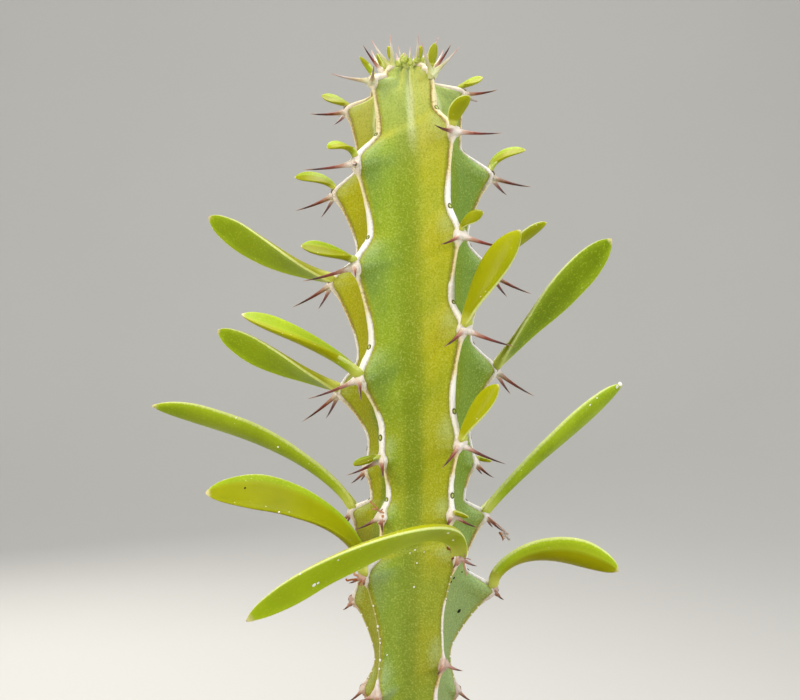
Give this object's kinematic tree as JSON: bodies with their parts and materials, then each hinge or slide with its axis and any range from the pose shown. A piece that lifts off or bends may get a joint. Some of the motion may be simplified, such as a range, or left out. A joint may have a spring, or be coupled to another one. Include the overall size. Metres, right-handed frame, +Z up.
{
  "type": "potted euphorbia",
  "caption": "Columnar succulent with wavy, spiny, pale-edged ribs and fleshy leaves, standing in soil in a plain clay pot.",
  "frame": {"origin": "centre of the pot's flat base, on the surface that it stands on", "axes": "+Z up along the stem; the picture's camera looks along +Y from the -Y side, with +X to its right"},
  "size_m": [0.11, 0.11, 0.2516],
  "materials": {
    "clay": "matte",
    "soil": "matte",
    "stem": "satin",
    "margin": "matte",
    "leaf": "satin"
  },
  "bodies": {
    "root": {"pot": "clay", "soil": "soil", "stem": "stem", "margin_front_left": "margin", "margin_front_right": "margin", "margin_side_right": "margin", "margin_rear": "margin", "margin_side_left": "margin", "leaf_front_left_1": "leaf", "leaf_front_left_2": "leaf", "leaf_front_left_3": "leaf", "leaf_front_left_4": "leaf", "leaf_front_left_5": "leaf", "leaf_front_left_6": "leaf", "leaf_front_left_8": "leaf", "leaf_front_right_1": "leaf", "leaf_front_right_2": "leaf", "leaf_front_right_3": "leaf", "leaf_front_right_4": "leaf", "leaf_front_right_5": "leaf", "leaf_front_right_6": "leaf", "leaf_front_right_7": "leaf", "leaf_front_right_8": "leaf", "leaf_side_right_2": "leaf", "leaf_side_right_3": "leaf", "leaf_side_right_4": "leaf", "leaf_side_right_5": "leaf", "leaf_side_right_6": "leaf", "leaf_side_right_7": "leaf", "leaf_side_right_8": "leaf", "leaf_side_left_1": "leaf", "leaf_side_left_2": "leaf", "leaf_side_left_3": "leaf", "leaf_side_left_4": "leaf", "leaf_side_left_5": "leaf", "leaf_side_left_7": "leaf", "leaf_rear_1": "leaf", "leaf_rear_2": "leaf", "leaf_rear_3": "leaf", "leaf_rear_4": "leaf", "leaf_rear_5": "leaf", "leaf_rear_6": "leaf", "leaf_rear_7": "leaf", "leaf_rear_8": "leaf"}
  },
  "joints": []
}
